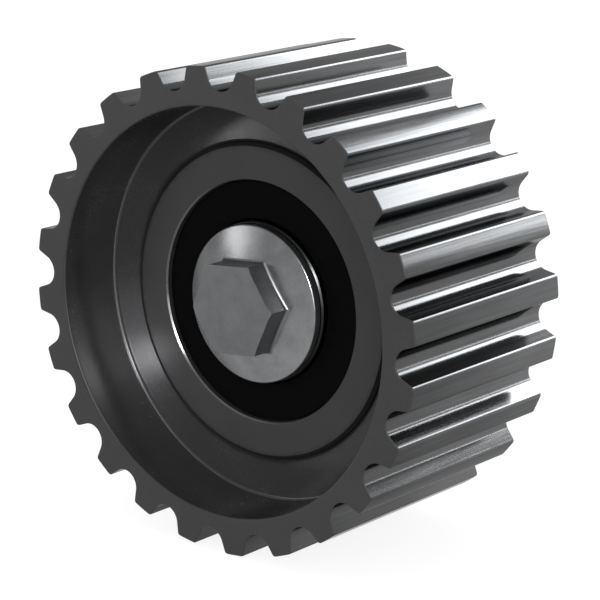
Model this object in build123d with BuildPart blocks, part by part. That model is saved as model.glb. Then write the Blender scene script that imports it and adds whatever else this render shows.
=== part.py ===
from build123d import *

import os
from math import cos, isclose, pi, radians, sin, tan

# A toothed guide pulley for a timing belt. A grooved steel rim turns on a sealed
# double-row ball bearing, and a flanged hexagon bolt clamps the bearing's inner
# ring to the engine. Millimetres. The axle is the Y axis and the front faces -Y.
# The origin is the centre of the inner ring's back face, the seat that the bolt
# pulls against the engine. A depth is measured back from the rim's front plane.

os.makedirs("parts", exist_ok=True)


# Belt and rim
groove_count = 24
belt_pitch = 9.525
pitch_line_height = 0.686
groove_depth = 3.35
groove_root_radius = 2.35
groove_flank_angle = 23
tooth_tip_round = 0.5
rim_width = 34.4
rim_wall = 2.35
rim_turn = 12.82

# Web and hub of the pulley
web_dish = 0.9
web_corner = 0.45
recess_edge = 0.3
bore_edge = 0.4
bore_lip_height = 1.5
bore_lip_thickness = 1.7

# Bearing: where it sits in the rim, and its rings
bearing_width = 22.0
bearing_back_inset = 2.9
bearing_front_step = 0.5
seat_stand_out = 1.0
ball_pitch_radius = 14.5
shoulder_gap = 2.4
seal_seat_step = 1.0
outer_ring_wall = 5.6
ring_edge = 0.5
seal_seat_edge = 0.35
inner_ring_front_edge = 0.25

# Balls and cages
ball_radius = 3.3735
balls_per_row = 8
raceway_clearance = 0.03
raceway_sides = 8
ball_sides = 12
ball_bands = 8
cage_wall = 2.4
cage_back = 1.0
cage_prong_reach = 1.3
cage_seal_gap = 0.3
pocket_clearance = 0.12
front_row_turn = 11.0
rear_row_turn = 33.0

# Seals
seal_face_sink = 0.9
seal_thickness = 1.1
seal_lip_thickness = 0.6
seal_lip_width = 1.2
seal_lip_clearance = 0.12
seal_seat_clearance = 0.05

# Bolt
bolt_shank_radius = 5.0
bolt_shank_clearance = 0.05
bolt_shank_shortfall = 0.3
bolt_flange_inset = 0.3
bolt_flange_rim = 1.3
bolt_flange_slope = 15
bolt_head_sides = 6
bolt_across_flats = 13.0
bolt_head_height = 6.1
bolt_corner_cut = 0.5
bolt_corner_slope = 30
bolt_thread_radius = 4.0
bolt_thread_reach = 19.0
bolt_thread_tip = 1.0
bolt_turn = 5.0

# How far a cut runs past the face that it starts from
cut_overrun = 1.0

# Radii that follow
tip_radius = groove_count * belt_pitch / (2 * pi) - pitch_line_height
recess_radius = tip_radius - groove_depth - rim_wall
outer_shoulder_radius = ball_pitch_radius + shoulder_gap
inner_shoulder_radius = ball_pitch_radius - shoulder_gap
seal_seat_radius = outer_shoulder_radius + seal_seat_step
bearing_outside_radius = seal_seat_radius + outer_ring_wall
bore_lip_radius = bearing_outside_radius - bore_lip_height
raceway_radius = ball_radius + raceway_clearance
ring_bore_radius = bolt_shank_radius + bolt_shank_clearance
bolt_flange_radius = inner_shoulder_radius - bolt_flange_inset

# Depths that follow
seat_depth = rim_width + seat_stand_out
bearing_back_depth = rim_width - bearing_back_inset
bearing_face_depth = bearing_back_depth - bearing_width
seal_seat_depth = seal_face_sink + seal_thickness
row_inset = seal_seat_depth + cage_seal_gap + cage_back + pocket_clearance + ball_radius
front_row_depth = bearing_face_depth + row_inset
rear_row_depth = bearing_back_depth - row_inset
web_foot_depth = bearing_face_depth + bearing_front_step
front_recess_depth = web_foot_depth + web_dish
hub_back_depth = bearing_back_depth + bore_lip_thickness


def along_axle(depth):
    """The place on the Y axis of a depth behind the rim's front plane."""
    return depth - seat_depth


def face_plane(depth, turn=0):
    """A sketch plane across the axle at a depth, seen from the front and turned about the axle."""
    across = (cos(radians(turn)), 0, sin(radians(turn)))
    return Plane(origin=(0, along_axle(depth), 0), x_dir=across, z_dir=(0, -1, 0))


def half_section(*corners):
    """The half section of a turned form, from corners given as a radius and a depth."""
    with BuildSketch() as section:
        with BuildLine():
            Polyline(*[(radius, along_axle(depth)) for radius, depth in corners], close=True)
        make_face()
    return section.sketch


def circles(piece, radius, depth):
    """The round edges of one radius at one depth."""
    return piece.edges().filter_by(
        lambda edge: edge.geom_type == GeomType.CIRCLE
        and isclose(edge.radius, radius, abs_tol=1e-4)
        and isclose(edge.arc_center.Y, along_axle(depth), abs_tol=1e-4)
    )


# Toothed pulley: a grooved rim round a recessed hub that holds the bearing
root_centre = tip_radius - groove_depth + groove_root_radius
flank_foot_radius = root_centre - groove_root_radius * sin(radians(groove_flank_angle))
flank_foot_offset = groove_root_radius * cos(radians(groove_flank_angle))
mouth_radius = tip_radius + cut_overrun
mouth_offset = flank_foot_offset + (mouth_radius - flank_foot_radius) * tan(radians(groove_flank_angle))

with BuildSketch() as belt_groove:
    with BuildLine():
        root = ThreePointArc(
            (flank_foot_radius, -flank_foot_offset),
            (tip_radius - groove_depth, 0),
            (flank_foot_radius, flank_foot_offset),
        )
        Polyline(root @ 1, (mouth_radius, mouth_offset), (mouth_radius, -mouth_offset), root @ 0)
    make_face()

with BuildPart() as toothed_pulley:
    with BuildSketch(face_plane(0, rim_turn)) as rim_outline:
        Circle(tip_radius)
        with PolarLocations(0, groove_count):
            add(belt_groove.sketch, mode=Mode.SUBTRACT)
        tip_corners = rim_outline.vertices().sort_by_distance((0, 0))[-2 * groove_count :]
        fillet(tip_corners, tooth_tip_round)
    extrude(amount=-rim_width)
    revolve(
        half_section(
            (0, -cut_overrun),
            (recess_radius, -cut_overrun),
            (recess_radius, front_recess_depth),
            (bearing_outside_radius, web_foot_depth),
            (bearing_outside_radius, bearing_back_depth),
            (bore_lip_radius, bearing_back_depth),
            (bore_lip_radius, hub_back_depth),
            (recess_radius, hub_back_depth),
            (recess_radius, rim_width + cut_overrun),
            (0, rim_width + cut_overrun),
        ),
        axis=Axis.Y,
        mode=Mode.SUBTRACT,
    )
    chamfer(circles(toothed_pulley, recess_radius, front_recess_depth), web_corner)
    chamfer(circles(toothed_pulley, recess_radius, 0), recess_edge)
    chamfer(circles(toothed_pulley, bearing_outside_radius, web_foot_depth), bore_edge)
toothed_pulley.part.label = "toothed_pulley"
export_step(toothed_pulley.part, "parts/toothed_pulley.step")


# Section of both ball tracks, which is turned out of each ring
row_depths = (front_row_depth, rear_row_depth)

with BuildSketch() as raceways:
    with Locations(*[(ball_pitch_radius, along_axle(depth)) for depth in row_depths]):
        RegularPolygon(raceway_radius, raceway_sides, major_radius=False, rotation=180 / raceway_sides)


# Outer ring, pressed into the pulley against the lip, with a seal seat at each end
with BuildPart() as bearing_outer_ring:
    revolve(
        half_section(
            (bearing_outside_radius, bearing_face_depth),
            (bearing_outside_radius, bearing_back_depth),
            (seal_seat_radius, bearing_back_depth),
            (seal_seat_radius, bearing_back_depth - seal_seat_depth),
            (outer_shoulder_radius, bearing_back_depth - seal_seat_depth),
            (outer_shoulder_radius, bearing_face_depth + seal_seat_depth),
            (seal_seat_radius, bearing_face_depth + seal_seat_depth),
            (seal_seat_radius, bearing_face_depth),
        ),
        axis=Axis.Y,
    )
    revolve(raceways.sketch, axis=Axis.Y, mode=Mode.SUBTRACT)
    chamfer(circles(bearing_outer_ring, bearing_outside_radius, bearing_face_depth), ring_edge)
    chamfer(circles(bearing_outer_ring, bearing_outside_radius, bearing_back_depth), ring_edge)
    chamfer(circles(bearing_outer_ring, seal_seat_radius, bearing_face_depth), seal_seat_edge)
    chamfer(circles(bearing_outer_ring, seal_seat_radius, bearing_back_depth), seal_seat_edge)
bearing_outer_ring.part.label = "bearing_outer_ring"
export_step(bearing_outer_ring.part, "parts/bearing_outer_ring.step")


# Inner ring, longer at the back, where it stands on the engine
with BuildPart() as bearing_inner_ring:
    revolve(
        half_section(
            (ring_bore_radius, bearing_face_depth),
            (inner_shoulder_radius, bearing_face_depth),
            (inner_shoulder_radius, seat_depth),
            (ring_bore_radius, seat_depth),
        ),
        axis=Axis.Y,
    )
    revolve(raceways.sketch, axis=Axis.Y, mode=Mode.SUBTRACT)
    chamfer(circles(bearing_inner_ring, inner_shoulder_radius, bearing_face_depth), inner_ring_front_edge)
    chamfer(circles(bearing_inner_ring, inner_shoulder_radius, seat_depth), ring_edge)
bearing_inner_ring.part.label = "bearing_inner_ring"
export_step(bearing_inner_ring.part, "parts/bearing_inner_ring.step")


# Seals: a rubber ring in each seal seat, thinned to a lip beside the inner ring
seal_outside_radius = seal_seat_radius - seal_seat_clearance
seal_lip_radius = inner_shoulder_radius + seal_lip_clearance


def seal(outside_depth, inward):
    """One seal, from the depth of its outer face, with inward as 1 or -1 towards the balls."""
    with BuildPart() as ring:
        revolve(
            half_section(
                (seal_lip_radius, outside_depth),
                (seal_outside_radius, outside_depth),
                (seal_outside_radius, outside_depth + inward * seal_thickness),
                (seal_lip_radius + seal_lip_width, outside_depth + inward * seal_thickness),
                (seal_lip_radius + seal_lip_width, outside_depth + inward * seal_lip_thickness),
                (seal_lip_radius, outside_depth + inward * seal_lip_thickness),
            ),
            axis=Axis.Y,
        )
    return ring


front_seal = seal(bearing_face_depth + seal_face_sink, 1)
front_seal.part.label = "front_seal"
export_step(front_seal.part, "parts/front_seal.step")

rear_seal = seal(bearing_back_depth - seal_face_sink, -1)
rear_seal.part.label = "rear_seal"
export_step(rear_seal.part, "parts/rear_seal.step")


# Balls: each is drawn with flat facets, whose corners lie on the true sphere
def facet_ring(latitude):
    """The corners of a ball at one latitude."""
    return [
        Vector(
            ball_radius * cos(radians(latitude)) * cos(2 * pi * corner / ball_sides),
            ball_radius * cos(radians(latitude)) * sin(2 * pi * corner / ball_sides),
            ball_radius * sin(radians(latitude)),
        )
        for corner in range(ball_sides)
    ]


def faceted_ball():
    """A closed ball of flat bands with a small flat at each end."""
    rings = [facet_ring(180 * band / ball_bands - 90) for band in range(1, ball_bands)]
    faces = [Face(Wire.make_polygon(rings[0])), Face(Wire.make_polygon(rings[-1]))]
    for lower, upper in zip(rings, rings[1:]):
        for corner in range(ball_sides):
            following = (corner + 1) % ball_sides
            facet = [lower[corner], lower[following], upper[following], upper[corner]]
            faces.append(Face(Wire.make_polygon(facet)))
    return Solid(Shell(faces))


ball_form = faceted_ball()


def ball_row(row, depth, turn):
    """The balls of one row, each in a file of its own."""
    for number in range(balls_per_row):
        with BuildPart(face_plane(depth, turn + 360 * number / balls_per_row)) as ball:
            with Locations((ball_pitch_radius, 0, 0)):
                add(ball_form)
        ball.part.label = f"{row}_ball_{number + 1}"
        export_step(ball.part, f"parts/{row}_ball_{number + 1}.step")


ball_row("front", front_row_depth, front_row_turn)
ball_row("rear", rear_row_depth, rear_row_turn)


# Cages: a crown whose open pockets snap over the balls of one row
def cage(depth, outward, turn):
    """The cage of the row at a depth, with its back outward: -1 is to the front and 1 to the rear."""
    back = depth + outward * (ball_radius + pocket_clearance + cage_back)
    prongs = depth - outward * cage_prong_reach
    with BuildPart() as crown:
        revolve(
            half_section(
                (ball_pitch_radius - cage_wall / 2, back),
                (ball_pitch_radius + cage_wall / 2, back),
                (ball_pitch_radius + cage_wall / 2, prongs),
                (ball_pitch_radius - cage_wall / 2, prongs),
            ),
            axis=Axis.Y,
        )
        with Locations(face_plane(depth, turn)):
            with PolarLocations(ball_pitch_radius, balls_per_row):
                Cylinder(
                    ball_radius + pocket_clearance,
                    cage_wall + 2 * cut_overrun,
                    rotation=(0, 90, 0),
                    mode=Mode.SUBTRACT,
                )
    return crown


front_cage = cage(front_row_depth, -1, front_row_turn)
front_cage.part.label = "front_cage"
export_step(front_cage.part, "parts/front_cage.step")

rear_cage = cage(rear_row_depth, 1, rear_row_turn)
rear_cage.part.label = "rear_cage"
export_step(rear_cage.part, "parts/rear_cage.step")


# Flange bolt: hexagon head, sloping flange, centring shank and plain thread length
head_top_depth = bearing_face_depth - bolt_head_height
flange_top_depth = bearing_face_depth - bolt_flange_rim
hex_flat_radius = bolt_across_flats / 2
hex_foot_depth = flange_top_depth - (bolt_flange_radius - hex_flat_radius) * tan(radians(bolt_flange_slope))
shank_end_depth = seat_depth - bolt_shank_shortfall
bolt_end_depth = seat_depth + bolt_thread_reach
hex_corner_radius = hex_flat_radius / cos(pi / bolt_head_sides)
corner_cut_foot = hex_corner_radius + bolt_corner_cut
corner_cut_top = hex_corner_radius - bolt_corner_cut
corner_cut_depth = head_top_depth + (corner_cut_foot - corner_cut_top) * tan(radians(bolt_corner_slope))

with BuildPart() as flange_bolt:
    with BuildSketch(face_plane(head_top_depth, bolt_turn)):
        RegularPolygon(hex_flat_radius, bolt_head_sides, major_radius=False)
    extrude(amount=head_top_depth - bearing_face_depth)
    revolve(
        half_section(
            (0, head_top_depth),
            (corner_cut_top, head_top_depth),
            (corner_cut_foot, corner_cut_depth),
            (corner_cut_foot, bearing_face_depth),
            (0, bearing_face_depth),
        ),
        axis=Axis.Y,
        mode=Mode.INTERSECT,
    )
    revolve(
        half_section(
            (0, hex_foot_depth),
            (hex_flat_radius, hex_foot_depth),
            (bolt_flange_radius, flange_top_depth),
            (bolt_flange_radius, bearing_face_depth),
            (bolt_shank_radius, bearing_face_depth),
            (bolt_shank_radius, shank_end_depth),
            (bolt_thread_radius, shank_end_depth),
            (bolt_thread_radius, bolt_end_depth - bolt_thread_tip),
            (bolt_thread_radius - bolt_thread_tip, bolt_end_depth),
            (0, bolt_end_depth),
        ),
        axis=Axis.Y,
    )
flange_bolt.part.label = "flange_bolt"
export_step(flange_bolt.part, "parts/flange_bolt.step")
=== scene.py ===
# %% [markdown]
# # A timing-belt pulley on its bearing and bolt
#
# The subject is a toothed guide pulley from an engine. A grooved steel rim turns on a sealed
# ball bearing, and a bolt with a wide flange clamps the bearing to the engine.
#
# The solids come first. They were designed at their real size in a CAD program, and this
# lesson loads them as a fixed frame. Our work is the looks: finer meshes where an eye would
# see facets, finishes made from nodes, and the light and camera of a small studio.

# %% Load the solids
from math import acos, atan2, cos, hypot, pi, radians, sin, sqrt, tan

import bmesh
import bpy
from mathutils import Matrix, Vector


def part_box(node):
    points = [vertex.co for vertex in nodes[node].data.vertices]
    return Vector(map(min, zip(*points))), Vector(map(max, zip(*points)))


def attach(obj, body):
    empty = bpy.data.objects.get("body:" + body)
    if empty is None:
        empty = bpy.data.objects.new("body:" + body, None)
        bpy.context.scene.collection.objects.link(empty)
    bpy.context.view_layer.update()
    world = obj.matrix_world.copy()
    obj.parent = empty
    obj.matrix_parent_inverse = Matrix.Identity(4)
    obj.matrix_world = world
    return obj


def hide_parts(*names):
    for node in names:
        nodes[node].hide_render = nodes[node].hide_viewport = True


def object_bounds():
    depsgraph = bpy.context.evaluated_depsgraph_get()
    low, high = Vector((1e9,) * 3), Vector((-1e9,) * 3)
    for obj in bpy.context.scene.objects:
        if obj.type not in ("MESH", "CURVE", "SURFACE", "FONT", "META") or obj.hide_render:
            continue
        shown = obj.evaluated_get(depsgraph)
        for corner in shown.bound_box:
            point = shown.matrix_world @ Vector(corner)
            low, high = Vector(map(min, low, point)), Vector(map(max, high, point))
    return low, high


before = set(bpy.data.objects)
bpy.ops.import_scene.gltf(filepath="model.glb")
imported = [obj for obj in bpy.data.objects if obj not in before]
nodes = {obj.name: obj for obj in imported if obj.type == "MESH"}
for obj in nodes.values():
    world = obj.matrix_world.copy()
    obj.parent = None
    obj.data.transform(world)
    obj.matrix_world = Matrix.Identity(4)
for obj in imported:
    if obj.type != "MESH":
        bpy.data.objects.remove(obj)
cad_low, cad_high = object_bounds()

# %% [markdown]
# ## Measures
#
# The axle is the Y axis, and the front of the pulley faces -Y. Everything that the solids
# already know is read from them. What is left comes from the drawing, in millimetres, and
# stands in the cell that first needs it. Blender works in metres here, so each size is
# multiplied by `mm`.

# %% Measures from the solids
mm = 0.001


def reach(node):
    """The largest radius of a solid, measured from the axle."""
    return max(hypot(v.co.x, v.co.z) for v in nodes[node].data.vertices)


def ends(node):
    """Where a solid starts and stops along the axle."""
    low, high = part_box(node)
    return low.y, high.y


rim_front, rim_back = ends("toothed_pulley")
ring_front, ring_back = ends("bearing_outer_ring")
core_front, core_back = ends("bearing_inner_ring")
tip_radius = reach("toothed_pulley")
ring_radius = reach("bearing_outer_ring")
core_radius = reach("bearing_inner_ring")
flange_radius = reach("flange_bolt")
print(f"rim {2 * tip_radius / mm:.1f} mm across and {(rim_back - rim_front) / mm:.1f} mm wide")

# %% [markdown]
# ## Growing pieces with Geometry Nodes
#
# A turned piece is a half section swept round its axle, and a toothed rim is one groove
# repeated. Both follow a rule, so node trees make them. `add` places one node in a tree and
# feeds it: a node or a socket becomes a link, and a plain value is typed into the socket.

# %% Placing and feeding nodes


def add(tree, kind, *values, **settings):
    """Adds a node, sets its options, and feeds its inputs in order."""
    node = tree.nodes.new(kind)
    for option, choice in settings.items():
        setattr(node, option, choice)
    open_inputs = [socket for socket in node.inputs if socket.enabled]
    for socket, value in zip(open_inputs, values):
        feed(tree, socket, value)
    return node


def feed(tree, socket, value):
    """Links a node or a socket to an input, or types a value into it. None leaves it alone."""
    if isinstance(value, list):
        for single in value:
            feed(tree, socket, single)
    elif isinstance(value, bpy.types.Node):
        tree.links.new(next(out for out in value.outputs if out.enabled), socket)
    elif isinstance(value, bpy.types.NodeSocket):
        tree.links.new(value, socket)
    elif value is not None:
        socket.default_value = value


def maths(tree, operation, *values):
    """One arithmetic step on numbers."""
    return add(tree, "ShaderNodeMath", *values, operation=operation)


# %% Starting, ending and running a tree


def new_tree(name, inputs):
    """An empty tree that takes and gives geometry, with named inputs of the given kinds."""
    tree = bpy.data.node_groups.new(name, "GeometryNodeTree")
    tree.interface.new_socket("Geometry", in_out="INPUT", socket_type="NodeSocketGeometry")
    tree.interface.new_socket("Geometry", in_out="OUTPUT", socket_type="NodeSocketGeometry")
    for label, kind in inputs.items():
        tree.interface.new_socket(label, in_out="INPUT", socket_type="NodeSocket" + kind)
    return tree, tree.nodes.new("NodeGroupInput").outputs


def finish_tree(tree, geometry):
    """Ends a tree in its output."""
    feed(tree, tree.nodes.new("NodeGroupOutput").inputs["Geometry"], geometry)


def grow(tree, seed_mesh, **values):
    """Runs a tree on a mesh and returns the plain mesh that it makes."""
    seed = bpy.data.objects.new("seed", seed_mesh)
    bpy.context.scene.collection.objects.link(seed)
    modifier = seed.modifiers.new("grow", "NODES")
    modifier.node_group = tree
    for item in tree.interface.items_tree:
        label = item.name.lower().replace(" ", "_")
        if item.in_out == "INPUT" and label in values:
            modifier[item.identifier] = values[label]
    evaluated = seed.evaluated_get(bpy.context.evaluated_depsgraph_get())
    mesh = bpy.data.meshes.new_from_object(evaluated)
    bpy.data.objects.remove(seed)
    print(f"{tree.name}: {len(tree.nodes)} nodes grew {len(mesh.polygons)} faces")
    return mesh


# %% [markdown]
# ## Turned forms
#
# A lathe makes most of this object: the bearing rings, the seals, the bolt's flange and the
# inside of the pulley. Each is drawn as corners of a half section, written as a radius, a
# place along the axle and how far the corner is rounded. A Screw modifier could turn them, and
# a Bevel round them. Here one tree does both, with Fillet Curve and Curve to Mesh, because a
# rounding that is part of the drawing can differ from corner to corner.

# %% The lathe
turn_segments = 288
round_steps = 6
rail_radius = 10 * mm
weld = 0.002 * mm


def lathe_tree():
    """Rounds a half section's corners and sweeps it round the Y axis.

    The circle that it is swept along has a radius of its own, so the section is moved back by
    as much, and its radii stay true.
    """
    tree, given = new_tree("lathe", {
        "Segments": "Int", "Round steps": "Int", "Material": "Material"})
    rounds = add(tree, "GeometryNodeInputNamedAttribute", "round", data_type="FLOAT")
    section = add(tree, "GeometryNodeMeshToCurve", given["Geometry"])
    section = add(tree, "GeometryNodeFilletCurve",
                  section, given["Round steps"], rounds, mode="POLY")
    section = add(tree, "GeometryNodeTransform", section, (-rail_radius, 0, 0))
    rail = add(tree, "GeometryNodeCurvePrimitiveCircle", given["Segments"], rail_radius)
    rail = add(tree, "GeometryNodeSetCurveNormal", rail, mode="Z_UP")
    swept = add(tree, "GeometryNodeCurveToMesh", rail, section)
    upright = add(tree, "GeometryNodeTransform", swept, None, (pi / 2, 0, 0))
    welded = add(tree, "GeometryNodeMergeByDistance", upright, None, weld)
    finish_tree(tree, add(tree, "GeometryNodeSetMaterial", welded, None, given["Material"]))
    return tree


lathe = lathe_tree()
print("lathe:", len(lathe.nodes), "nodes")

# %% From corners to a turned mesh


def section_mesh(corners, closed):
    """A half section as a string of edges. A corner is a radius, a place and a rounding."""
    points = [(corner[0], corner[1], 0) for corner in corners]
    edges = [(i, i + 1) for i in range(len(points) - 1)]
    if closed:
        edges.append((len(points) - 1, 0))
    mesh = bpy.data.meshes.new("section")
    mesh.from_pydata(points, edges, [])
    rounds = mesh.attributes.new("round", "FLOAT", "POINT")
    sizes = [corner[2] if len(corner) > 2 else 0.0 for corner in corners]
    rounds.data.foreach_set("value", sizes)
    return mesh


def turned(corners, material, closed=True):
    """The mesh of a turned form."""
    return grow(lathe, section_mesh(corners, closed),
                segments=turn_segments, round_steps=round_steps, material=material)


# %% [markdown]
# ## A second finish on a turned form
#
# One turned piece can be dull on its face and bright on an edge. A mask in the shader could
# show that. The border lies on an edge of the mesh anyway, so it is simpler, and sharp at any
# distance, to pick the faces between two radii and two places and give them another material.

# %% Give some faces their own finish


def refinish(mesh, material, radii, places):
    """Gives a material to the faces between two radii and two places along the axle."""
    mesh.materials.append(material)
    for face in mesh.polygons:
        x, y, z = face.center
        if radii[0] < hypot(x, z) < radii[1] and places[0] < y < places[1]:
            face.material_index = len(mesh.materials) - 1


# %% [markdown]
# ## Pieces from meshes
#
# A piece may need several meshes, such as a toothed rim and the turned inside that closes it.
# They are joined, welded where they share an edge, and their faces turned outwards. A
# Weighted Normal modifier then keeps wide faces flat beside their narrow rounded edges.

# %% Turn meshes into a piece
sharp_angle = radians(32)


def piece(name, body, slot, *meshes, stands_for=()):
    """Joins meshes into one object that rides on a body and stands for CAD nodes."""
    joined = bmesh.new()
    materials = []
    for mesh in meshes:
        own = list(mesh.materials)
        materials.extend(material for material in own if material not in materials)
        first = len(joined.faces)
        joined.from_mesh(mesh)
        joined.faces.ensure_lookup_table()
        for face in joined.faces[first:]:
            face.material_index = materials.index(own[face.material_index])
    bmesh.ops.remove_doubles(joined, verts=joined.verts, dist=weld)
    bmesh.ops.recalc_face_normals(joined, faces=joined.faces)
    for face in joined.faces:
        face.smooth = True
    open_edges = sum(1 for edge in joined.edges if len(edge.link_faces) != 2)
    result = bpy.data.meshes.new(name)
    joined.to_mesh(result)
    joined.free()
    for material in materials:
        result.materials.append(material)
    result.set_sharp_from_angle(angle=sharp_angle)
    made = bpy.data.objects.new(name, result)
    bpy.context.scene.collection.objects.link(made)
    flatten = made.modifiers.new("flat_faces", "WEIGHTED_NORMAL")
    flatten.keep_sharp = True
    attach(made, body)
    if stands_for:
        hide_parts(*stands_for)
    print(f"{name}: {len(result.polygons)} faces, {open_edges} open edges")


# %% [markdown]
# ## Finishes from patterns
#
# No surface here is one flat colour. A lathe leaves fine rings, a gear cutter leaves streaks
# along each groove, and a phosphate bath leaves a fine dark grain. Pictures could show that,
# but node patterns on Object coordinates stay sharp at any distance and need no unwrapping.

# %% Patterns
noise_low = 0.35
noise_high = 0.65


def noise(tree, where, scale, detail=3.0, **settings):
    """Cloudy noise from 0 to 1, with features of about one over the scale, in metres."""
    return add(tree, "ShaderNodeTexNoise", where, scale, detail, **settings).outputs[0]


def clouds(tree, scale, detail=3.0, stretch=(1, 1, 1)):
    """Noise in space, on Object coordinates that are stretched along each axis."""
    where = add(tree, "ShaderNodeTexCoord").outputs["Object"]
    where = add(tree, "ShaderNodeMapping", where, None, None, stretch)
    return noise(tree, where, scale, detail)


def radius_and_depth(tree):
    """How far a point lies from the axle, and where along it."""
    where = add(tree, "ShaderNodeTexCoord").outputs["Object"]
    apart = add(tree, "ShaderNodeSeparateXYZ", where).outputs
    flat = add(tree, "ShaderNodeCombineXYZ", apart["X"], 0, apart["Z"])
    return add(tree, "ShaderNodeVectorMath", flat, operation="LENGTH"), apart["Y"]


def turning_marks(tree, scale):
    """Fine rings as a lathe tool leaves them, on faces and in bores alike."""
    radius, depth = radius_and_depth(tree)
    along_the_cut = maths(tree, "ADD", radius, depth)
    return noise(tree, along_the_cut, scale, detail=4, noise_dimensions="1D")


def blend(tree, *patterns):
    """The average of some patterns, each given with its weight."""
    total = sum(weight for pattern, weight in patterns)
    result = 0.0
    for pattern, weight in patterns:
        result = maths(tree, "MULTIPLY_ADD", pattern, weight / total, result)
    return result


def span(tree, pattern, low, high, start=noise_low, end=noise_high):
    """Stretches a pattern's middle so that it runs from one number to another."""
    return add(tree, "ShaderNodeMapRange", pattern, start, end, low, high)


# %% [markdown]
# ## One function for every finish
#
# Each finish is a Principled shader. What is even over the surface, such as how metallic it
# is, sits on the shader's own sockets. Colour and roughness wander between two values, led by
# a pattern, and the same pattern lifts the surface a little as bump. `edge` dims what a metal
# mirrors at a grazing angle, and `stain` is a second pattern that the colour is multiplied by.

# %% Finish function


def finish(name, pattern, dark, light, metallic, smooth, rough,
           bump=0.0, specular=0.5, edge=1.0, stain=None):
    """A material whose colour and roughness follow a pattern."""
    material = bpy.data.materials.new(name)
    material.use_nodes = True
    tree = material.node_tree
    shader = tree.nodes["Principled BSDF"]
    shader.inputs["Metallic"].default_value = metallic
    shader.inputs["Specular IOR Level"].default_value = specular
    shader.inputs["Specular Tint"].default_value = (edge, edge, edge, 1)
    led = pattern(tree)
    share = span(tree, led, 0, 1)
    colour = add(tree, "ShaderNodeMix", share, (*dark, 1), (*light, 1), data_type="RGBA")
    if stain:
        colour = add(tree, "ShaderNodeVectorMath", colour, stain(tree), operation="SCALE")
    feed(tree, shader.inputs["Base Color"], colour)
    feed(tree, shader.inputs["Roughness"], span(tree, led, smooth, rough))
    if bump:
        lift = tree.nodes.new("ShaderNodeBump")
        lift.inputs["Distance"].default_value = bump
        feed(tree, lift.inputs["Height"], led)
        feed(tree, shader.inputs["Normal"], lift)
    print("finish:", name)
    return material


# %% [markdown]
# ## Phosphated steel
#
# The pulley's faces are a dull dark grey. Steel gets that colour in a phosphate bath, which
# grows tiny dark crystals on it and holds oil against rust. The grain is finer than a pixel,
# so faint rings from the lathe and soft cloudy patches are what the eye reads. A metallic
# shader would be too bright here: crystals scatter light as paint does. The web round the
# bearing has the same coat on a smoother face.
#
# Oil creeps from the joint between bearing and pulley and holds dust, and shade falls into the
# gap there. The colour falls near that radius, as dirt and painted shade, and a noise that is
# added to the distance makes the border ragged.

# %% Finishes of the pulley's faces
# Dirt and painted shade: the colour darkens near the joint between bearing and pulley.
dirt_and_shade_raggedness = 0.9 * mm
dirt_and_shade_darkness = 0.15
dirt_and_shade_core = 0.7 * mm
dirt_and_shade_end = 1.5 * mm


def phosphate(tree):
    """Crystals, lathe rings and soft patches."""
    crystals = clouds(tree, scale=3200, detail=4)
    rings = turning_marks(tree, scale=2200)
    patches = clouds(tree, scale=110)
    return blend(tree, (crystals, 0.45), (rings, 0.25), (patches, 0.5))


def joint_dirt_and_shade(tree):
    """Low at the joint between bearing and pulley, as dirt and painted shade, and one elsewhere."""
    radius, depth = radius_and_depth(tree)
    away = maths(tree, "ABSOLUTE", maths(tree, "SUBTRACT", radius, ring_radius))
    ragged = maths(tree, "MULTIPLY_ADD", clouds(tree, scale=600), dirt_and_shade_raggedness, away)
    return span(tree, ragged, dirt_and_shade_darkness, 1, dirt_and_shade_core, dirt_and_shade_end)


# These finishes, and the outer ring's, darken near the joint with dirt and painted shade.
phosphated_face = finish(
    "phosphated_face", phosphate, dark=(0.025, 0.025, 0.026), light=(0.039, 0.039, 0.0405),
    metallic=0, smooth=0.4, rough=0.55, bump=0.03 * mm, specular=0.28, stain=joint_dirt_and_shade)
turned_web = finish(
    "turned_web", phosphate, dark=(0.024, 0.024, 0.025), light=(0.034, 0.034, 0.0355),
    metallic=0, smooth=0.2, rough=0.3, bump=0.01 * mm, specular=0.32, stain=joint_dirt_and_shade)

# %% [markdown]
# ## Walls, joints and edges
#
# Three narrow places decide how the recess reads. Its wall is almost bare metal, which mirrors
# the lamps as a soft band. The joint between ring and pulley gets a near-black coat, which is
# painted shade in the gap. The slope round the seal was ground, and shows as a thin bright line.

# %% Finishes of the recess wall, the joint and the seal's seat
turned_wall = finish(
    "turned_wall", phosphate, dark=(0.24, 0.24, 0.247), light=(0.32, 0.32, 0.33),
    metallic=0.96, smooth=0.2, rough=0.28, bump=0.01 * mm, edge=0.4)
# Painted shade: a near-black coat for the edges at the joint between ring and pulley.
joint_film = finish(
    "joint_film", phosphate, dark=(0.006, 0.006, 0.006), light=(0.014, 0.014, 0.014),
    metallic=0, smooth=0.6, rough=0.8, specular=0.1)
seat_edge = finish(
    "seat_edge", phosphate, dark=(0.07, 0.07, 0.071), light=(0.1, 0.1, 0.101),
    metallic=1, smooth=0.16, rough=0.24)

# %% [markdown]
# ## Cut teeth
#
# The belt has rubbed the teeth brighter than the faces, and the cutter ran along the axle. A
# noise that is stretched forty times along Y gives streaks in that direction. The surface is
# smoother than the faces, so it mirrors the softboxes as hard white bands. The colour also gets
# lighter from front to back, which is a painted sheen.

# %% Finish of the teeth
# Painted sheen: the teeth's colour grows lighter from front to back.
sheen_front = 0.75
sheen_back = 1.4


def cutter_streaks(tree):
    """Streaks along the axle over soft patches."""
    streaks = clouds(tree, scale=2600, stretch=(1, 0.025, 1))
    patches = clouds(tree, scale=160, stretch=(1, 0.25, 1))
    return blend(tree, (streaks, 0.5), (patches, 0.6))


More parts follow.
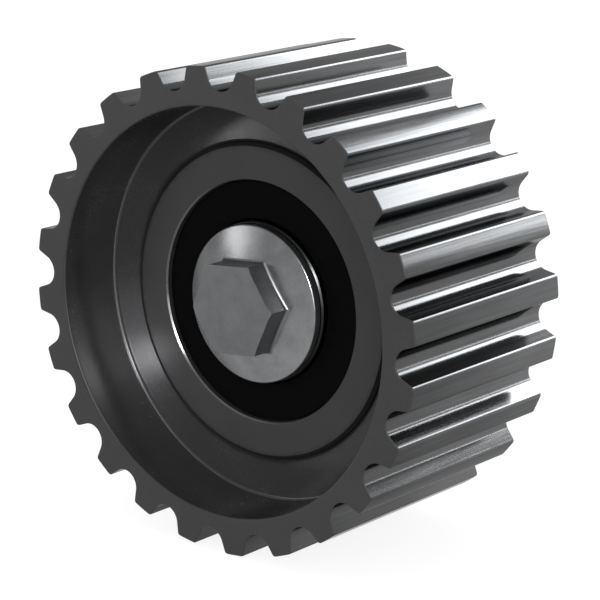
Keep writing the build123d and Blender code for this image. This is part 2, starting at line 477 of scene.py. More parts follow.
def painted_depth_sheen(tree):
    """Below one at the front of the teeth and above one at the back: a painted sheen."""
    radius, depth = radius_and_depth(tree)
    return span(tree, depth, sheen_front, sheen_back, rim_front, rim_back)


# The teeth carry the painted sheen along the depth as stain.
cut_teeth = finish(
    "cut_teeth", cutter_streaks, dark=(0.092, 0.093, 0.095), light=(0.13, 0.131, 0.133),
    metallic=1, smooth=0.13, rough=0.2, bump=0.01 * mm, edge=0.45, stain=painted_depth_sheen)

# %% [markdown]
# ## Bearing steel
#
# The bearing's rings are ground, which leaves finer rings than a lathe. The outer one has
# dulled to a dark grey that hardly mirrors, so it is made as a coat, and the inner one as dark
# metal. The balls are polished. They show only when someone opens the bearing.

# %% Finishes of the bearing


def grinding(tree):
    """Very fine rings and a few soft patches."""
    rings = turning_marks(tree, scale=6000)
    patches = clouds(tree, scale=150)
    return blend(tree, (rings, 0.5), (patches, 0.5))


ground_ring = finish(
    "ground_ring", grinding, dark=(0.022, 0.022, 0.023), light=(0.034, 0.034, 0.0355),
    metallic=0, smooth=0.4, rough=0.5, bump=0.01 * mm, specular=0.25, stain=joint_dirt_and_shade)
ground_core = finish(
    "ground_core", grinding, dark=(0.014, 0.0145, 0.015), light=(0.025, 0.0265, 0.027),
    metallic=1, smooth=0.2, rough=0.3, bump=0.01 * mm, edge=0.5)
polished_ball = finish(
    "polished_ball", grinding, dark=(0.66, 0.66, 0.67), light=(0.72, 0.72, 0.73),
    metallic=1, smooth=0.06, rough=0.1)

# %% [markdown]
# ## Zinc on the bolt
#
# The bolt was forged and plated with zinc, so its grey is mottled, and the head kept the
# rougher skin of the forging. Two noises, one coarse and one fine, give the mottling. A slope
# across the bolt paints light on it: the colour is lighter at the lower right and darker at the
# upper left.

# %% Finishes of the bolt
# Painted light: the bolt's colour is lighter towards the lower right and darker towards the upper
# left.
lit_side_direction = Vector((0.6, 0, -0.8))
shaded_side_factor = 0.74
lit_side_factor = 1.26


def plating(tree):
    """Mottled zinc with a little grain."""
    mottling = clouds(tree, scale=420, detail=4)
    grain = clouds(tree, scale=2600)
    return blend(tree, (mottling, 0.6), (grain, 0.3))


def painted_light_slope(tree):
    """Painted light: lighter towards the lower right and darker towards the upper left."""
    where = add(tree, "ShaderNodeTexCoord").outputs["Object"]
    apart = add(tree, "ShaderNodeSeparateXYZ", where).outputs
    lower = maths(tree, "MULTIPLY", apart["Z"], lit_side_direction.z)
    lower_right = maths(tree, "MULTIPLY_ADD", apart["X"], lit_side_direction.x, lower)
    return span(tree, lower_right, shaded_side_factor, lit_side_factor, -flange_radius, flange_radius)


# The bolt's flange, shank and thread carry the painted light as stain.
zinc_plate = finish(
    "zinc_plate", plating, dark=(0.135, 0.138, 0.141), light=(0.18, 0.183, 0.186),
    metallic=0.8, smooth=0.17, rough=0.26, bump=0.01 * mm, stain=painted_light_slope)
forged_zinc = finish(
    "forged_zinc", plating, dark=(0.103, 0.106, 0.109), light=(0.131, 0.134, 0.137),
    metallic=0.65, smooth=0.3, rough=0.42, bump=0.01 * mm)

# %% [markdown]
# ## Rubber and nylon
#
# The seal is black rubber with almost no shine, so its specular level is close to zero: a
# plain black would still gleam. The cages that space the balls are moulded nylon, yellowish
# and satin. Both came out of a mould, and share one faint grain.

# %% Finishes of the seals and the cages


def moulding(tree):
    """The faint grain of a moulded skin."""
    grain = clouds(tree, scale=900)
    rings = turning_marks(tree, scale=1500)
    return blend(tree, (grain, 0.5), (rings, 0.3))


moulded_rubber = finish(
    "moulded_rubber", moulding, dark=(0.0015, 0.0015, 0.0016), light=(0.003, 0.003, 0.0032),
    metallic=0, smooth=0.6, rough=0.8, bump=0.02 * mm, specular=0.02)
moulded_nylon = finish(
    "moulded_nylon", moulding, dark=(0.46, 0.37, 0.22), light=(0.54, 0.44, 0.28),
    metallic=0, smooth=0.35, rough=0.5, bump=0.02 * mm)

# %% [markdown]
# ## One groove of the rim
#
# The belt grips in 24 grooves. Booleans could cut them as a gear cutter does, but they leave
# long thin triangles that shade badly. So one groove is drawn flat: a round root, two straight
# flanks and half of the tooth tip on each side. A tree repeats it.

# %% One pitch of the rim's outline
groove_count = 24
groove_depth = 3.35 * mm
groove_root_radius = 2.35 * mm
groove_flank_angle = radians(23)
tooth_tip_round = 0.5 * mm
root_steps = 26
land_steps = 4


def pitch_outline():
    """One groove and half a tooth tip on each side, as points with their roundings."""
    root_centre = tip_radius - groove_depth + groove_root_radius
    foot_turn = pi / 2 - groove_flank_angle
    foot_x = root_centre - groove_root_radius * cos(foot_turn)
    foot_y = groove_root_radius * sin(foot_turn)
    # The flank is a straight line, and it meets the circle of the tips at the groove's mouth
    lean = tan(groove_flank_angle)
    start = foot_y - foot_x * lean
    square = 1 + lean ** 2
    mouth_x = (sqrt(tip_radius ** 2 * square - start ** 2) - start * lean) / square
    mouth_turn = atan2(start + mouth_x * lean, mouth_x)
    half_pitch = pi / groove_count
    land_turn = mouth_turn - half_pitch
    land = [half_pitch + land_turn * step / land_steps for step in range(land_steps + 1)]
    side = [(tip_radius * cos(turn), -tip_radius * sin(turn)) for turn in land]
    root = []
    for step in range(root_steps + 1):
        turn = foot_turn * (2 * step / root_steps - 1)
        across = root_centre - groove_root_radius * cos(turn)
        root.append((across, groove_root_radius * sin(turn)))
    outline = side + root + [(x, -y) for x, y in reversed(side)]
    corners = {land_steps, len(outline) - 1 - land_steps}
    return [(x, y, tooth_tip_round if i in corners else 0.0) for i, (x, y) in enumerate(outline)]


print("points in one pitch:", len(pitch_outline()))

# %% [markdown]
# ## The toothed rim
#
# The tree sets the groove round the axle once for each tooth and welds the ends into one
# closed outline. It sweeps a short line across the width along that outline, which makes the
# teeth. The ends of the line bend inwards, so both edges are rounded. Last, it fills the two
# faces between the teeth and the mouth of the recess.

# %% The outline and the line across the width
line_points = 4
line_middle = (line_points - 1) / 2


def ring_of_grooves(tree, given):
    """The groove repeated round the axle and welded into one closed outline."""
    index = add(tree, "GeometryNodeInputIndex")
    pitch = maths(tree, "DIVIDE", 2 * pi, given["Grooves"])
    turn = maths(tree, "MULTIPLY_ADD", index, pitch, given["Turn"])
    rotation = add(tree, "FunctionNodeAxisAngleToRotation", (0, 0, 1), turn)
    places = add(tree, "GeometryNodePoints", given["Grooves"])
    outline = add(tree, "GeometryNodeInstanceOnPoints",
                  places, None, given["Geometry"], None, None, rotation)
    outline = add(tree, "GeometryNodeRealizeInstances", outline)
    outline = add(tree, "GeometryNodeMergeByDistance", outline, None, weld)
    outline = add(tree, "GeometryNodeMeshToCurve", outline)
    tips = add(tree, "GeometryNodeInputNamedAttribute", "round", data_type="FLOAT")
    outline = add(tree, "GeometryNodeFilletCurve",
                  outline, given["Round steps"], tips, mode="POLY")
    return add(tree, "GeometryNodeSetCurveNormal", outline, mode="Z_UP")


def width_line(tree, given, width):
    """A line from front to back whose two ends bend inwards."""
    index = add(tree, "GeometryNodeInputIndex")
    from_middle = maths(tree, "ABSOLUTE", maths(tree, "SUBTRACT", index, line_middle))
    is_end = maths(tree, "GREATER_THAN", from_middle, 1)
    is_corner = maths(tree, "LESS_THAN", from_middle, 1)
    inset = maths(tree, "MULTIPLY", is_end, maths(tree, "MULTIPLY", given["Edge round"], -1))
    is_back = maths(tree, "GREATER_THAN", index, line_middle)
    along = maths(tree, "MULTIPLY_ADD", is_back, width, given["Front"])
    place = add(tree, "ShaderNodeCombineXYZ", inset, along)
    line = add(tree, "GeometryNodeMeshLine", line_points)
    line = add(tree, "GeometryNodeSetPosition", line, None, place)
    line = add(tree, "GeometryNodeMeshToCurve", line)
    corner_round = maths(tree, "MULTIPLY", is_corner, given["Edge round"])
    return add(tree, "GeometryNodeFilletCurve",
               line, given["Round steps"], corner_round, mode="POLY")


# %% One face of the rim


def rim_face(tree, given, teeth, on_side, place):
    """Fills one face, from the border of the teeth to the mouth of the recess."""
    # An edge on the border has one face beside it
    faces_beside = add(tree, "GeometryNodeInputMeshEdgeNeighbors")
    on_border = add(tree, "FunctionNodeCompare",
                    faces_beside, 1, data_type="INT", operation="EQUAL")
    border = add(tree, "FunctionNodeBooleanMath", on_border, on_side, operation="AND")
    outer = add(tree, "GeometryNodeMeshToCurve", teeth, border)
    inner = add(tree, "GeometryNodeCurvePrimitiveCircle",
                given["Segments"], given["Mouth radius"])
    both = add(tree, "GeometryNodeJoinGeometry", [outer, inner])
    face = add(tree, "GeometryNodeFillCurve", both)
    level = add(tree, "ShaderNodeCombineXYZ", 0, 0, maths(tree, "MULTIPLY", place, -1))
    face = add(tree, "GeometryNodeTransform", face, level)
    return add(tree, "GeometryNodeSetMaterial", face, None, given["Face material"])


# %% The tree of the rim


def rim_tree():
    """Sweeps the width along the ring of grooves and closes both faces."""
    tree, given = new_tree("toothed rim", {
        "Grooves": "Int", "Turn": "Float", "Front": "Float", "Back": "Float",
        "Edge round": "Float", "Round steps": "Int", "Mouth radius": "Float",
        "Segments": "Int", "Tooth material": "Material", "Face material": "Material"})
    width = maths(tree, "SUBTRACT", given["Back"], given["Front"])
    outline = ring_of_grooves(tree, given)
    teeth = add(tree, "GeometryNodeCurveToMesh", outline, width_line(tree, given, width))
    teeth = add(tree, "GeometryNodeSetMaterial", teeth, None, given["Tooth material"])
    # The rim lies flat here, with its front up, and is set upright at the end
    position = add(tree, "GeometryNodeInputPosition")
    height = add(tree, "ShaderNodeSeparateXYZ", position).outputs["Z"]
    both_ends = maths(tree, "ADD", given["Front"], given["Back"])
    middle = maths(tree, "MULTIPLY", both_ends, -0.5)
    off_middle = maths(tree, "ABSOLUTE", maths(tree, "SUBTRACT", height, middle))
    half_width = maths(tree, "MULTIPLY", width, 0.5)
    straight = maths(tree, "SUBTRACT", half_width, given["Edge round"])
    rounded = maths(tree, "GREATER_THAN", off_middle, straight)
    teeth = add(tree, "GeometryNodeSetMaterial", teeth, rounded, given["Face material"])
    in_front = maths(tree, "GREATER_THAN", height, middle)
    behind = maths(tree, "LESS_THAN", height, middle)
    front_face = rim_face(tree, given, teeth, in_front, given["Front"])
    back_face = rim_face(tree, given, teeth, behind, given["Back"])
    whole = add(tree, "GeometryNodeJoinGeometry", [teeth, front_face, back_face])
    upright = add(tree, "GeometryNodeTransform", whole, None, (pi / 2, 0, 0))
    upright = add(tree, "GeometryNodeRealizeInstances", upright)
    finish_tree(tree, add(tree, "GeometryNodeMergeByDistance", upright, None, weld))
    return tree


# %% Grow the rim
rim_turn = radians(12.82)
edge_round = 0.15 * mm
edge_round_steps = 4
recess_radius = 30 * mm
mouth_edge = 0.3 * mm

rim_mesh = grow(
    rim_tree(), section_mesh(pitch_outline(), closed=False), grooves=groove_count,
    turn=rim_turn, front=rim_front, back=rim_back, edge_round=edge_round,
    round_steps=edge_round_steps, mouth_radius=recess_radius + mouth_edge,
    segments=turn_segments, tooth_material=cut_teeth, face_material=phosphated_face)

# %% [markdown]
# ## The inside of the pulley
#
# Inside the rim a lathe cut a recess, a web whose face slopes back, the bore for the bearing
# and a lip that stops the bearing. It is one open section. Its two ends lie on the edge of the
# rim's faces, and `piece` welds them there, so that the wheel is one closed skin.

# %% The pulley: rim and turned inside as one piece
web_round = 0.45 * mm
web_sink = 0.5 * mm
web_slope = 0.9 * mm
bore_edge = 0.4 * mm
stop_radius = 22 * mm
stop_thickness = 1.7 * mm
stop_edge = 0.3 * mm
web_foot = ring_front + web_sink
web_edge = web_foot + web_slope
stop_back = ring_back + stop_thickness

hub_mesh = turned([
    (recess_radius + mouth_edge, rim_front),
    (recess_radius, rim_front, mouth_edge),
    (recess_radius, web_edge, web_round),
    (ring_radius, web_foot, bore_edge),
    (ring_radius, ring_back),
    (stop_radius, ring_back),
    (stop_radius, stop_back, stop_edge),
    (recess_radius, stop_back, web_round),
    (recess_radius, rim_back, mouth_edge),
    (recess_radius + mouth_edge, rim_back),
], turned_web, closed=False)
margin = 0.1 * mm
wall_radii = (recess_radius - margin, recess_radius + margin)
joint_radii = (ring_radius - margin, ring_radius + bore_edge)
mouth_radii = (recess_radius, recess_radius + mouth_edge)
refinish(hub_mesh, turned_wall, wall_radii, (rim_front, web_edge))
# The bore's edge at the joint gets the painted shade.
refinish(hub_mesh, joint_film, joint_radii, (rim_front, ring_back))
refinish(hub_mesh, phosphated_face, mouth_radii, (rim_front, rim_back))
piece("pulley_wheel", "pulley", "rim_steel", rim_mesh, hub_mesh, stands_for=["toothed_pulley"])

# %% [markdown]
# ## The bearing's rings
#
# The pulley turns on two rings with two rows of balls between them. Both rings are turned, so
# the lathe makes them. The solids' ball tracks have straight-sided sections, and here they are
# true arcs. The outer ring's edges are broken as a grinder leaves them: that thin slope round
# the seal is one of the brightest lines in the photograph.

# %% Bearing sizes
ball_pitch_radius = 14.5 * mm
ball_radius = 3.3735 * mm
track_play = 0.03 * mm
track_radius = ball_radius + track_play
track_steps = 14
shoulder_gap = 2.4 * mm
outer_shoulder = ball_pitch_radius + shoulder_gap
inner_shoulder = ball_pitch_radius - shoulder_gap

row_middles = [sum(ends(row + "_ball_1")) / 2 for row in ("front", "rear")]
print("ball rows at", [round(middle / mm, 2) for middle in row_middles])


def track(middle, side, shoulder):
    """The arc of one ball track, from front to back. The side is 1 in the outer ring."""
    half = acos(abs(shoulder - ball_pitch_radius) / track_radius)
    arc = []
    for step in range(track_steps + 1):
        turn = half * (2 * step / track_steps - 1)
        radius = ball_pitch_radius + side * track_radius * cos(turn)
        arc.append((radius, middle + track_radius * sin(turn)))
    return arc


# %% Outer ring
seat_step = 1 * mm
seal_seat = outer_shoulder + seat_step
seal_sink = 0.9 * mm
seal_thickness = 1.1 * mm
seal_seat_edge = 0.25 * mm
seat_depth = seal_sink + seal_thickness
ring_edge = 0.5 * mm
fine_round = 0.08 * mm

outer_ring = turned([
    (seal_seat, ring_front + seat_depth, fine_round),
    (seal_seat, ring_front + seal_seat_edge, fine_round),
    (seal_seat + seal_seat_edge, ring_front, fine_round),
    (ring_radius - ring_edge, ring_front, fine_round),
    (ring_radius, ring_front + ring_edge, fine_round),
    (ring_radius, ring_back - ring_edge, fine_round),
    (ring_radius - ring_edge, ring_back, fine_round),
    (seal_seat + seal_seat_edge, ring_back, fine_round),
    (seal_seat, ring_back - seal_seat_edge, fine_round),
    (seal_seat, ring_back - seat_depth, fine_round),
    (outer_shoulder, ring_back - seat_depth),
    *reversed(track(row_middles[1], 1, outer_shoulder)),
    *reversed(track(row_middles[0], 1, outer_shoulder)),
    (outer_shoulder, ring_front + seat_depth),
], ground_ring)
seat_radii = (seal_seat, seal_seat + seal_seat_edge)
edge_radii = (ring_radius - ring_edge, ring_radius + ring_edge)
refinish(outer_ring, seat_edge, seat_radii, (rim_front, ring_front + seal_seat_edge))
# The ring's outer edges at the joint get the painted shade.
refinish(outer_ring, joint_film, edge_radii, (rim_front, ring_back))
piece("outer_ring", "pulley", "ring_steel", outer_ring, stands_for=["bearing_outer_ring"])

# %% Inner ring
core_edge = 0.25 * mm
core_bore = 5.05 * mm
core_bore_edge = 0.3 * mm

inner_ring = turned([
    (core_bore, core_front, core_bore_edge),
    (core_radius - core_edge, core_front, fine_round),
    (core_radius, core_front + core_edge, fine_round),
    *track(row_middles[0], -1, inner_shoulder),
    *track(row_middles[1], -1, inner_shoulder),
    (core_radius, core_back, ring_edge),
    (core_bore, core_back, core_bore_edge),
], ground_core)
piece("inner_ring", "fixed_core", "ring_steel", inner_ring, stands_for=["bearing_inner_ring"])

# %% [markdown]
# ## The seals
#
# A black rubber ring closes the bearing at each end and keeps its grease in. It sits in the
# outer ring and turns with it, and a thin lip runs round the inner ring. The section is the
# same at both ends but mirrored, so one function takes the way to the balls as 1 or -1.

# %% Seals
seal_clearance = 0.05 * mm
lip_gap = 0.12 * mm
lip_width = 1.2 * mm
lip_thickness = 0.6 * mm
seal_round = 0.15 * mm


def seal(name, face, inward):
    """A moulded ring, thinned to a lip beside the inner ring. Inward is the way to the balls."""
    outside = seal_seat - seal_clearance
    inside = inner_shoulder + lip_gap
    mesh = turned([
        (inside, face, seal_round),
        (outside, face, seal_round),
        (outside, face + inward * seal_thickness, seal_round),
        (inside + lip_width, face + inward * seal_thickness, seal_round),
        (inside + lip_width, face + inward * lip_thickness),
        (inside, face + inward * lip_thickness, seal_round),
    ], moulded_rubber)
    piece(name + "_ring", "pulley", "seal_rubber", mesh, stands_for=[name])


seal("front_seal", ring_front + seal_sink, 1)
seal("rear_seal", ring_back - seal_sink, -1)

# %% [markdown]
# ## Balls
#
# Eight balls stand evenly round each row. Sixteen objects could be set by hand, but a rule
# does it better: a tree with the row's radius, place and first turn as named inputs sets one
# sphere on each point, and the result is one mesh for each row. The cages between the balls
# keep their solids and only get their nylon.

# %% Ball rows
balls_per_row = 8
ball_segments = 40
ball_rings = 24


def point_round_axle(tree, turn, radius, along):
    """A point at a turn and a radius round the axle, and a place along it."""
    x = maths(tree, "MULTIPLY", radius, maths(tree, "COSINE", turn))
    z = maths(tree, "MULTIPLY", radius, maths(tree, "SINE", turn))
    return add(tree, "ShaderNodeCombineXYZ", x, along, z)


def ball_row_tree():
    """Spheres set evenly round the axle."""
    tree, given = new_tree("ball row", {
        "Balls": "Int", "Ball radius": "Float", "Row radius": "Float", "Place": "Float",
        "Turn": "Float", "Material": "Material"})
    index = add(tree, "GeometryNodeInputIndex")
    step = maths(tree, "DIVIDE", 2 * pi, given["Balls"])
    turn = maths(tree, "MULTIPLY_ADD", index, step, given["Turn"])
    place = point_round_axle(tree, turn, given["Row radius"], given["Place"])
    points = add(tree, "GeometryNodePoints", given["Balls"], place)
    ball = add(tree, "GeometryNodeMeshUVSphere", ball_segments, ball_rings, given["Ball radius"])
    row = add(tree, "GeometryNodeInstanceOnPoints", points, None, ball)
    row = add(tree, "GeometryNodeRealizeInstances", row)
    finish_tree(tree, add(tree, "GeometryNodeSetMaterial", row, None, given["Material"]))
    return tree


ball_tree = ball_row_tree()
empty_mesh = bpy.data.meshes.new("empty")
for row, middle in zip(("front", "rear"), row_middles):
    ball_low, ball_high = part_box(row + "_ball_1")
    first = (ball_low + ball_high) / 2
    mesh = grow(ball_tree, empty_mesh, balls=balls_per_row, ball_radius=ball_radius,
                place=middle, row_radius=ball_pitch_radius, turn=atan2(first.z, first.x),
                material=polished_ball)
    names = [f"{row}_ball_{number + 1}" for number in range(balls_per_row)]
    piece(row + "_balls", row + "_ball_row", "ball_steel", mesh, stands_for=names)
    nodes[row + "_cage"].data.materials.clear()
    nodes[row + "_cage"].data.materials.append(moulded_nylon)

# %% [markdown]
# ## The bolt's head
#
# The hexagon is a prism whose corners a lathe has cut to a shallow cone, so its top edge is a
# circle and each flat ends in a curve. A cylinder with six sides and a Bevel would miss that
# curve. Here the outline is a ring of many points, and each point is lowered by as much as it
# lies outside the cone. More rings carry the foot over into the sloping flange.

# %% Bolt sizes
flange_rim = 1.3 * mm
flange_slope = radians(15)
flange_front = core_front - flange_rim
hex_sides = 6
side_turn = 2 * pi / hex_sides
across_flats = 13 * mm
corner_radius = across_flats / 2 / cos(side_turn / 2)
head_height = 6.1 * mm
head_front = core_front - head_height
hex_turn = radians(5)
hex_round = 0.15 * mm
print(f"hexagon {across_flats / mm:.0f} mm wide, {2 * corner_radius / mm:.1f} mm at its corners")

# %% Points round the hexagon


def hexagon(corner_steps, flat_steps):
    """Points round a hexagon with slightly rounded corners, each a turn and a radius."""
    arc_centre = corner_radius - hex_round / cos(side_turn / 2)
    places = []
    for corner in range(hex_sides):
        middle = corner * side_turn + hex_turn
        for step in range(corner_steps + 1):
            turn = middle + (step / corner_steps - 0.5) * side_turn
            places.append(Vector((arc_centre * cos(middle) + hex_round * cos(turn),
                                  arc_centre * sin(middle) + hex_round * sin(turn))))
    points = []
    for here, there in zip(places, places[1:] + places[:1]):
        steps = flat_steps if (there - here).length > hex_round else 1
        points.extend(here.lerp(there, step / steps) for step in range(steps))
    return [(atan2(point.y, point.x), point.length) for point in points]


hex_points = hexagon(corner_steps=4, flat_steps=24)
print("points round the hexagon:", len(hex_points))

# %% The head as a stack of rings
corner_cut = 0.5 * mm
corner_slope = radians(30)
foot_round = 0.45 * mm
foot_steps = 6


def flange_face(radius):
    """Where the flange's sloping face lies along the axle, at a radius."""
    return flange_front - (flange_radius - radius) * tan(flange_slope)


def hex_rings(radii):
    """The head's rings from top to foot. Each point is a radius and a place on the axle."""
    flat_top = corner_radius - corner_cut
    fall = tan(corner_slope)
    rings = [[(min(radius, flat_top), head_front) for radius in radii]]
    rings.append([(radius, head_front + max(0, radius - flat_top) * fall) for radius in radii])
    for step in range(foot_steps + 1):
        bend = pi / 2 * step / foot_steps
        out = foot_round * (1 - cos(bend))
        up = foot_round * (1 - sin(bend))
        rings.append([(radius + out, flange_face(radius + out) - up) for radius in radii])
    rings.append([(radius, flange_front) for radius in radii])
    return rings


# %% Hexagon head


def hex_head():
    """A hexagon prism: a cone nicks its corners, and its foot runs out into the flange."""
    turns = [turn for turn, radius in hex_points]
    mesh = bmesh.new()
    rows = []
    for ring in hex_rings([radius for turn, radius in hex_points]):
        spread = [(r * cos(turn), place, r * sin(turn)) for turn, (r, place) in zip(turns, ring)]
        rows.append([mesh.verts.new(point) for point in spread])
    for upper, lower in zip(rows, rows[1:]):
        for i in range(len(turns)):
            mesh.faces.new((upper[i - 1], upper[i], lower[i], lower[i - 1]))
    mesh.faces.new(rows[0])
    mesh.faces.new(rows[-1])
    result = bpy.data.meshes.new("hex head")
    mesh.to_mesh(result)
    mesh.free()
    result.materials.append(forged_zinc)
    return result


# %% [markdown]
# ## The thread
#
# The thread holds the bolt in the engine. A Screw modifier on a zigzag would do, but its ends
# stay open and blunt. Here a grid is rolled into a tube whose rows climb along the helix. The
# ridge can then grow from nothing over its first turn and end in a cone, as on a real bolt.

# %% Where each point of the thread stands
rows_a_turn = 4
middle_row = (rows_a_turn - 1) / 2
crest_width = 0.125
root_spread = 0.17


def helix_place(tree, row, share):
    """How many turns along the helix a point stands, and one if it stands on the crest.

    The share is how far round the tube the point is. The crest's width and how far the roots
    are spread from it are parts of a pitch.
    """
    # A turn has four rows: root, crest, crest, root
    corner = maths(tree, "FLOORED_MODULO", row, rows_a_turn)
    from_crest = maths(tree, "SUBTRACT", corner, middle_row)
    on_crest = maths(tree, "LESS_THAN", maths(tree, "ABSOLUTE", from_crest), 1)
    row_middle = maths(tree, "ADD", row, 0.5)
    whole = maths(tree, "FLOOR", maths(tree, "DIVIDE", row_middle, rows_a_turn))
    part = maths(tree, "MULTIPLY_ADD", from_crest, crest_width, 0.5)
    aside = maths(tree, "MULTIPLY", maths(tree, "SIGN", from_crest), root_spread)
    spread = maths(tree, "MULTIPLY", aside, maths(tree, "SUBTRACT", 1, on_crest))
    in_turn = maths(tree, "ADD", spread, share)
    return maths(tree, "ADD", maths(tree, "ADD", whole, part), in_turn), on_crest


# %% The tree of the thread
turns_before = 2
end_cone = 0.3


def thread_tree():
    """A helical ridge on an open tube that fades in at its start and ends in a cone."""
    tree, given = new_tree("thread", {
        "Start": "Float", "End": "Float", "Radius": "Float", "Depth": "Float",
        "Pitch": "Float", "Columns": "Int", "Rows": "Int", "Material": "Material"})
    columns = maths(tree, "ADD", given["Columns"], 1)
    grid = add(tree, "GeometryNodeMeshGrid", 1, 1, columns, given["Rows"])
    index = add(tree, "GeometryNodeInputIndex")
    point_middle = maths(tree, "ADD", index, 0.5)
    column = maths(tree, "FLOOR", maths(tree, "DIVIDE", point_middle, given["Rows"]))
    row = maths(tree, "SUBTRACT", index, maths(tree, "MULTIPLY", column, given["Rows"]))
    share = maths(tree, "DIVIDE", column, given["Columns"])
    turns, on_crest = helix_place(tree, row, share)

    # The tube starts two turns early, and what falls outside the thread is pushed to its ends
    from_start = maths(tree, "SUBTRACT", turns, turns_before)
    raw = maths(tree, "MULTIPLY_ADD", from_start, given["Pitch"], given["Start"])
    along = maths(tree, "MAXIMUM", raw, given["Start"])
    along = maths(tree, "MINIMUM", along, given["End"])
    length = maths(tree, "SUBTRACT", along, given["Start"])
    run_in = maths(tree, "MINIMUM", maths(tree, "DIVIDE", length, given["Pitch"]), 1)
    rise = maths(tree, "MULTIPLY", on_crest, run_in)
    root = maths(tree, "SUBTRACT", given["Radius"], given["Depth"])
    ridge = maths(tree, "ADD", root, maths(tree, "MULTIPLY", rise, given["Depth"]))
    tip = maths(tree, "MULTIPLY_ADD", given["Depth"], -end_cone, root)
    cone = maths(tree, "ADD", tip, maths(tree, "SUBTRACT", given["End"], along))
    radius = maths(tree, "MINIMUM", ridge, cone)
    turn = maths(tree, "MULTIPLY", share, 2 * pi)
    place = point_round_axle(tree, turn, radius, along)
    tube = add(tree, "GeometryNodeSetPosition", grid, None, place)
    tube = add(tree, "GeometryNodeMergeByDistance", tube, None, weld)
    finish_tree(tree, add(tree, "GeometryNodeSetMaterial", tube, None, given["Material"]))
    return tree


# %% Grow the thread and close it
shank_radius = 5 * mm
shank_gap = 0.3 * mm
shank_back = core_back - shank_gap
bolt_back = ends("flange_bolt")[1]
thread_columns = 48
thread_radius = 4 * mm
thread_pitch = 1.25 * mm
thread_depth = 0.767 * mm
turns_spare = 5
thread_turns = int((bolt_back - shank_back) / thread_pitch) + turns_spare

thread = grow(
    thread_tree(), empty_mesh, start=shank_back, end=bolt_back, radius=thread_radius,
    depth=thread_depth, pitch=thread_pitch, columns=thread_columns,
    rows=rows_a_turn * thread_turns, material=zinc_plate)


def close_ends(mesh):
    """Fills a tube's open ends."""
    tube = bmesh.new()
    tube.from_mesh(mesh)
    border = [edge for edge in tube.edges if edge.is_boundary]
    bmesh.ops.holes_fill(tube, edges=border)
    tube.to_mesh(mesh)
    tube.free()


close_ends(thread)
print("thread with its ends closed:", len(thread.polygons), "faces")

# %% [markdown]
# ## The bolt as one piece
#
# The flange and the shank are turned from one section that ends on the axle, which closes it.
# Head, body and thread are three closed skins that overlap, and a bolt is one piece of steel,
# so they become one object that is clamped to the engine with the inner ring.

# %% The bolt
flange_front_round = 0.35 * mm
flange_back_round = 0.25 * mm
shank_round = 0.4 * mm
head_radius = across_flats / 2
thread_core = thread_radius - thread_depth * (1 + end_cone)

bolt_body = turned([
    (0, flange_face(head_radius)),
    (head_radius, flange_face(head_radius)),
    (flange_radius, flange_front, flange_front_round),
    (flange_radius, core_front, flange_back_round),
    (shank_radius, core_front),
    (shank_radius, shank_back, shank_round),
    (thread_core, shank_back),
    (thread_core, bolt_back),
    (0, bolt_back),
], zinc_plate, closed=False)
piece("bolt", "fixed_core", "bolt_steel", bolt_body, hex_head(), thread, stands_for=["flange_bolt"])

# %% [markdown]
# ## The camera
#
# The camera looks at the pulley's front from the right and a little from above. Its turn, its
# height, its distance and the lens were fitted until the rim, the bearing and the bolt lay
# where they lie in the photograph. It stands about five diameters away, so the front of the
# rim looks a little larger than the back.

# %% Camera
camera_turn = radians(39.5068)
camera_height = radians(14.4188)
camera_distance = 364.468 * mm
camera_target = Vector((1.5491, -18.2, -0.905)) * mm

cam_data = bpy.data.cameras.new("camera")
cam_data.lens = 148.3
cam_data.sensor_width = 36
cam_data.clip_start = 10 * mm
cam_data.clip_end = 20
camera = bpy.data.objects.new("camera", cam_data)
bpy.context.scene.collection.objects.link(camera)
towards = Vector((
    sin(camera_turn) * cos(camera_height),
    -cos(camera_turn) * cos(camera_height),
    sin(camera_height)))
camera.location = camera_target + towards * camera_distance
camera.rotation_mode = "QUATERNION"
camera.rotation_quaternion = (-towards).to_track_quat("-Z", "Y")
bpy.context.scene.camera = camera
print("camera stands at", [round(part / mm) for part in camera.location], "mm")

# %% [markdown]
# ## A white room
#
# The photograph is on pure white. Brighter lamps would do that too, but they would wash out
# the object. Instead the floor and the world glow plainly for the camera and for mirror
# images, through Light Path, and light the object at their own lower level.

# %% World
plain_level = 0.75


def seen_or_mirrored(tree):
    """One for camera, mirror and glass rays, zero for the light that falls on things."""
    path = add(tree, "ShaderNodeLightPath").outputs
    seen = maths(tree, "MAXIMUM", path["Is Camera Ray"], path["Is Glossy Ray"])
    return maths(tree, "MAXIMUM", seen, path["Is Transmission Ray"])


bpy.context.scene.view_settings.view_transform = "Standard"
world = bpy.data.worlds.new("studio")
bpy.context.scene.world = world
world.use_nodes = True
world_tree = world.node_tree
backdrop = world_tree.nodes["Background"]
backdrop.inputs["Color"].default_value = (1, 1, 1, 1)
world_strength = add(world_tree, "ShaderNodeMapRange",
                     seen_or_mirrored(world_tree), 0, 1, plain_level, 1)
feed(world_tree, backdrop.inputs["Strength"], world_strength)
print("world:", len(world_tree.nodes), "nodes")

# %% [markdown]
# ## The floor
#
# The pulley stands on a pale sheet, a hair below its lowest teeth so that the two don't touch.
# A white sheet would throw much light back at the rim. A grey one, with a glow added for the
# camera and for mirrors, throws back little, looks nearly white and keeps a faint shadow.

# %% Floor
floor_colour = 0.3
floor_glow = 0.86
floor_gap = 0.05 * mm
floor_half = 2.5

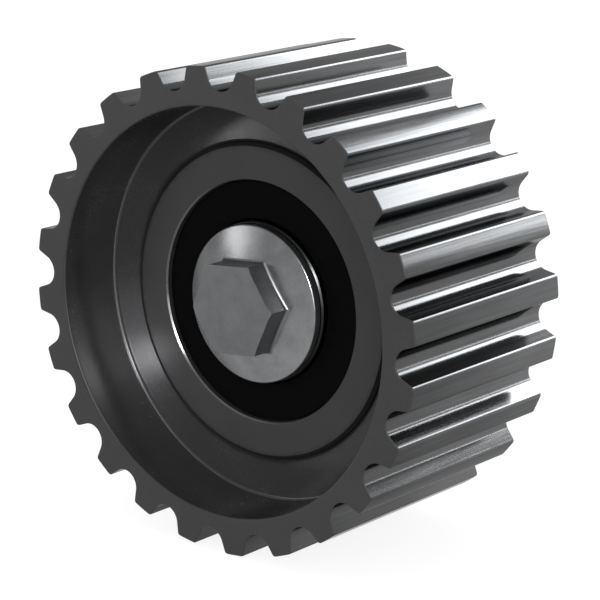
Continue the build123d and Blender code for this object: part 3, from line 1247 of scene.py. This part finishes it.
pale_floor = bpy.data.materials.new("pale_floor")
pale_floor.use_nodes = True
floor_tree = pale_floor.node_tree
floor_tree.nodes.clear()
dull = add(floor_tree, "ShaderNodeBsdfDiffuse", (floor_colour, floor_colour, floor_colour, 1))
strength = maths(floor_tree, "MULTIPLY", seen_or_mirrored(floor_tree), floor_glow)
glow = add(floor_tree, "ShaderNodeEmission", (1, 1, 1, 1), strength)
both = add(floor_tree, "ShaderNodeAddShader", dull, glow)
feed(floor_tree, add(floor_tree, "ShaderNodeOutputMaterial").inputs["Surface"], both)

floor_level = -tip_radius - floor_gap
square = [(-1, -1), (1, -1), (1, 1), (-1, 1)]
floor_corners = [(x * floor_half, y * floor_half, floor_level) for x, y in square]
floor_mesh = bpy.data.meshes.new("floor")
floor_mesh.from_pydata(floor_corners, [], [(0, 1, 2, 3)])
floor_mesh.materials.append(pale_floor)
floor = bpy.data.objects.new("floor", floor_mesh)
bpy.context.scene.collection.objects.link(floor)
print(f"floor at {floor_level / mm:.2f} mm")

# %% [markdown]
# ## Softboxes
#
# A polished surface shows what it mirrors, so each lamp stands where one face mirrors it. The
# tooth light, behind the pulley and above it, makes the wide white bands on the teeth. The edge
# light, a narrow strip behind it on the right, makes the band on the tooth below them. The bolt
# light at the front left brightens the upper side of the bolt's flange, and the side light at
# the front right the recess. The spark light is small and strong, for the bright spots in the
# recess and at the hexagon's corner. `level` is how bright a softbox looks in a mirror, where 1
# is white.

# %% Lamps
object_middle = (Vector(cad_low) + Vector(cad_high)) / 2
white = (1, 1, 1)
cool = (0.95, 0.98, 1)


def softbox(name, turn, lean, distance, size, level, tint=white, falls=True):
    """A lamp that faces the middle of the object.

    Its direction leans away from the axle's back end, and turns from up towards +X. Its size is
    its width round the axle and its height away from it, as angles seen from the object. A
    lamp that doesn't fall on dull surfaces is seen in mirror images only.
    """
    lamp = bpy.data.lights.new(name, "AREA")
    lamp.shape = "RECTANGLE"
    lamp.size, lamp.size_y = [2 * distance * tan(radians(angle) / 2) for angle in size]
    lamp.energy = level * pi * lamp.size * lamp.size_y
    lamp.color = tint
    box = bpy.data.objects.new(name, lamp)
    box.visible_diffuse = falls
    bpy.context.scene.collection.objects.link(box)
    turn = radians(turn)
    lean = radians(lean)
    away = Vector((sin(lean) * sin(turn), cos(lean), sin(lean) * cos(turn)))
    round_axle = Vector((cos(turn), 0, -sin(turn)))
    axes = Matrix((round_axle, away.cross(round_axle), away))
    box.matrix_world = axes.transposed().to_4x4()
    box.location = object_middle + away * distance
    print(f"{name}: {lamp.size / mm:.0f} by {lamp.size_y / mm:.0f} mm")


softbox("tooth_light", turn=33.5, lean=34.5, distance=0.3, size=(29, 30), level=10,
        tint=cool, falls=False)
softbox("edge_light", turn=69, lean=38.7, distance=0.32, size=(2.2, 28), level=7,
        tint=cool, falls=False)
softbox("bolt_light", turn=-79.4, lean=134.2, distance=0.5, size=(9, 11), level=7)
softbox("side_light", turn=88, lean=135, distance=0.45, size=(32, 32), level=4)
softbox("spark_light", turn=57.5, lean=133, distance=0.44, size=(12, 12), level=110,
        falls=False)
